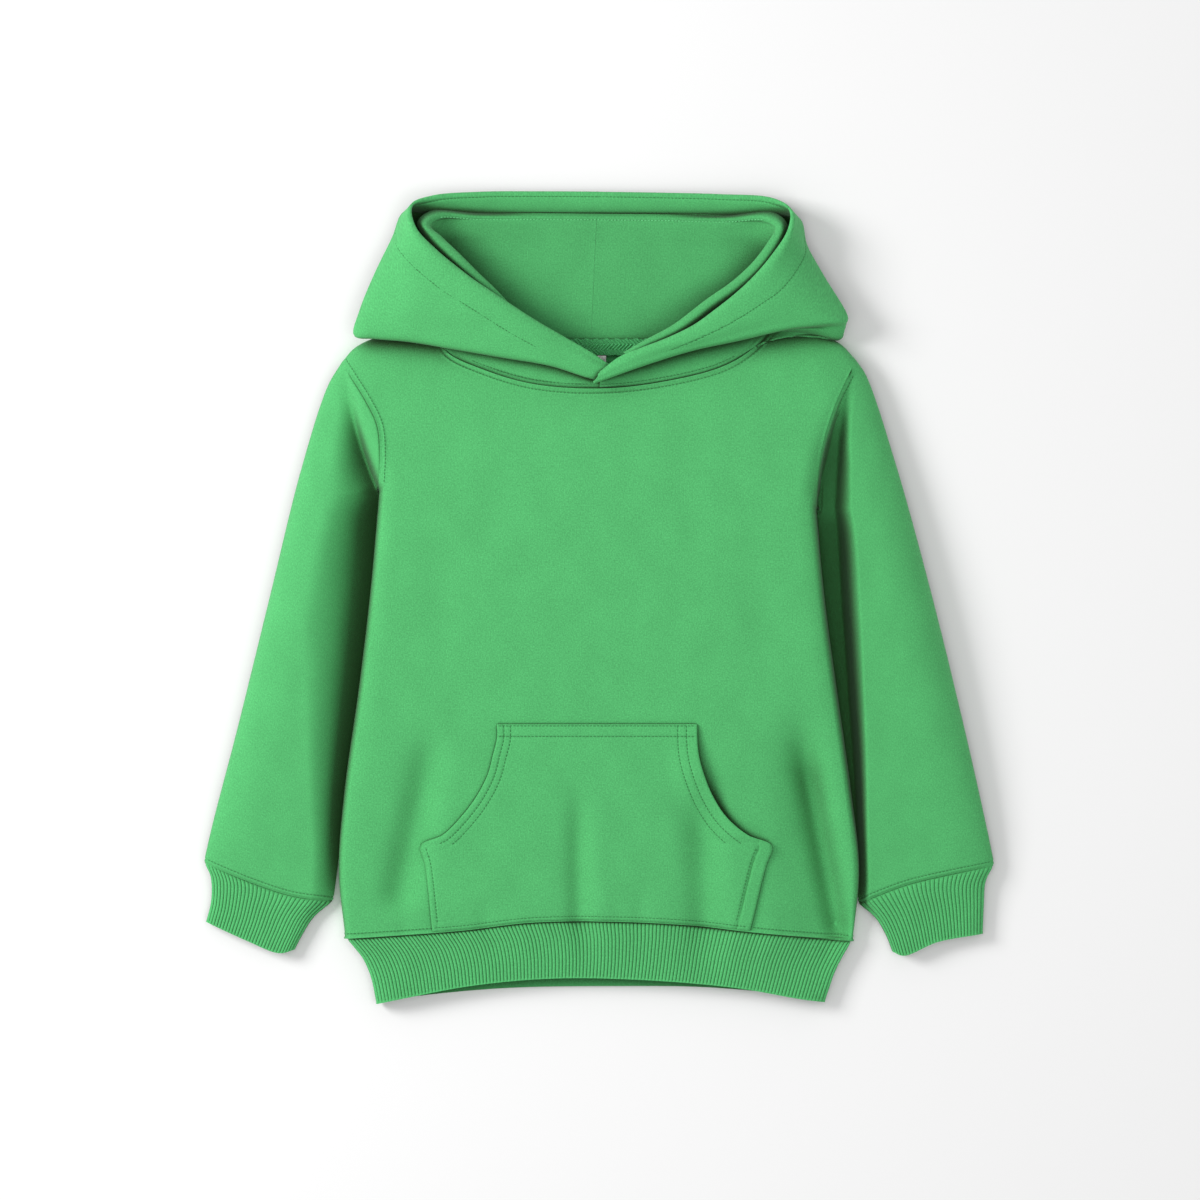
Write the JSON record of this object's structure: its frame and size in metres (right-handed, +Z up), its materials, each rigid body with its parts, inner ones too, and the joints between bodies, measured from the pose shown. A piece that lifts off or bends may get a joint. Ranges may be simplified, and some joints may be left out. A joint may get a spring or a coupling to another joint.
{
  "type": "pullover hoodie",
  "caption": "Child's fleece pullover hoodie laid flat on its back, with an open lined hood, a kangaroo pocket and ribbed cuffs and hem.",
  "frame": {"origin": "middle of the garment's box in plan, on the surface it lies on", "axes": "+X towards the right as seen from above, +Y towards the hood, +Z up from the surface"},
  "size_m": [0.6108, 0.6274, 0.048],
  "materials": {
    "fleece": "plain jersey face of a brushed cotton fleece, matt with a soft nap",
    "rib": "1x1 rib knit, matt",
    "lining": "the same jersey, face up inside the hood",
    "tape": "herringbone tape in the garment's colour",
    "label": "blank white woven label"
  },
  "bodies": {
    "root": {"front": "fleece", "back": "fleece", "sleeve_left": "fleece", "sleeve_right": "fleece", "cuff_left": "rib", "cuff_right": "rib", "hem_band": "rib", "pocket": "fleece", "hood_left": "fleece", "hood_right": "fleece", "hood_lining_left": "lining", "hood_lining_right": "lining", "neck_tape": "tape", "neck_label": "label"}
  },
  "joints": []
}
